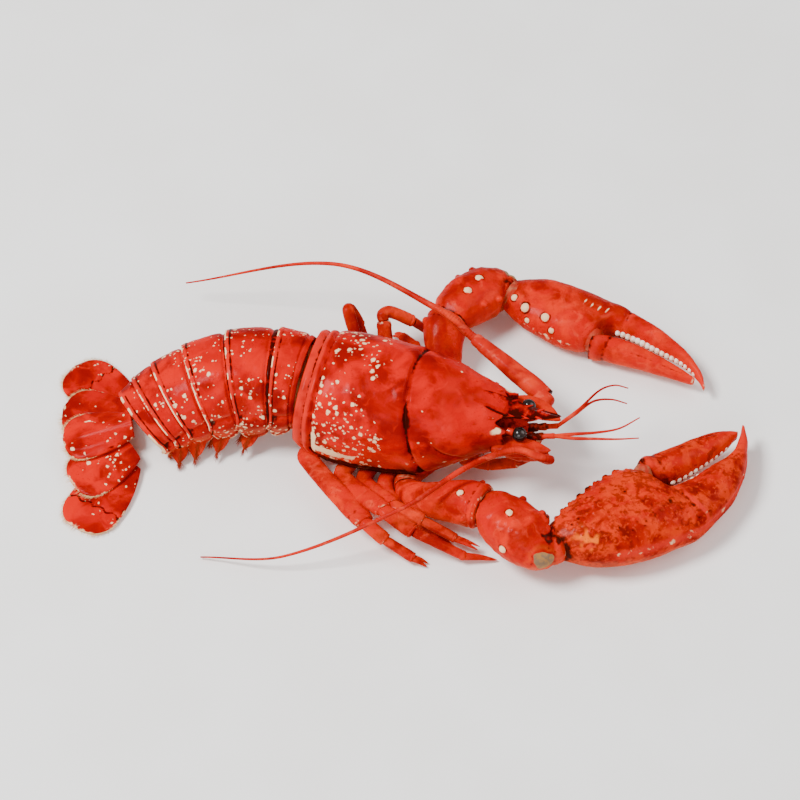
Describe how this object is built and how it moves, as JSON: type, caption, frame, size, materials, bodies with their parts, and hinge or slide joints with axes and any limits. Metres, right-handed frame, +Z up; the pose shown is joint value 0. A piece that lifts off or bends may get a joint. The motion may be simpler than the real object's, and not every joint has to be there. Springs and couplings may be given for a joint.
{
  "type": "cooked lobster",
  "caption": "Whole boiled red lobster lying on its belly, claws forward, tail gently curled with its fan spread and long feelers swept back.",
  "frame": {"origin": "middle of the overall box in plan, at the level the lobster rests on", "axes": "+X towards the head along the longest extent, +Y to the lobster's left, +Z up"},
  "size_m": [0.2986, 0.1616, 0.0515],
  "materials": {
    "back_shell": "glossy boiled shell, speckled",
    "tail_shell": "glossy boiled shell, speckled",
    "claw_shell": "satin boiled shell, mottled",
    "leg_shell": "satin boiled shell",
    "feeler": "satin boiled shell",
    "eye": "glossy black",
    "underside": "matt skin and soft shell"
  },
  "bodies": {
    "root": {"carapace": "back_shell", "chest": "underside", "claw_left_arm": "claw_shell", "claw_left_finger": "claw_shell", "claw_left_hip": "leg_shell", "claw_left_palm": "claw_shell", "claw_left_wrist": "claw_shell", "claw_right_arm": "claw_shell", "claw_right_finger": "claw_shell", "claw_right_hip": "leg_shell", "claw_right_palm": "claw_shell", "claw_right_wrist": "claw_shell", "eye_left": "eye", "eye_right": "eye", "fan_inner_left": "tail_shell", "fan_inner_right": "tail_shell", "fan_outer_left": "tail_shell", "fan_outer_right": "tail_shell", "feeler_left_base": "feeler", "feeler_left_whip": "leg_shell", "feeler_right_base": "feeler", "feeler_right_whip": "leg_shell", "feeler_scale_left": "feeler", "feeler_scale_right": "feeler", "leg_left_2_lower": "leg_shell", "leg_left_2_upper": "leg_shell", "leg_left_3_lower": "leg_shell", "leg_left_3_upper": "leg_shell", "leg_left_4_lower": "leg_shell", "leg_left_4_upper": "leg_shell", "leg_left_5_lower": "leg_shell", "leg_left_5_upper": "leg_shell", "leg_right_2_lower": "leg_shell", "leg_right_2_upper": "leg_shell", "leg_right_3_lower": "leg_shell", "leg_right_3_upper": "leg_shell", "leg_right_4_lower": "leg_shell", "leg_right_4_upper": "leg_shell", "leg_right_5_lower": "leg_shell", "leg_right_5_upper": "leg_shell", "mouth_limb_left": "leg_shell", "mouth_limb_right": "leg_shell", "small_feeler_left": "feeler", "small_feeler_right": "feeler", "swimmeret_2_left": "underside", "swimmeret_2_right": "underside", "swimmeret_3_left": "underside", "swimmeret_3_right": "underside", "swimmeret_4_left": "underside", "swimmeret_4_right": "underside", "swimmeret_5_left": "underside", "swimmeret_5_right": "underside", "tail_ring_1": "tail_shell", "tail_ring_2": "tail_shell", "tail_ring_3": "tail_shell", "tail_ring_4": "tail_shell", "tail_ring_5": "tail_shell", "tail_ring_6": "tail_shell", "telson": "tail_shell"}
  },
  "joints": []
}
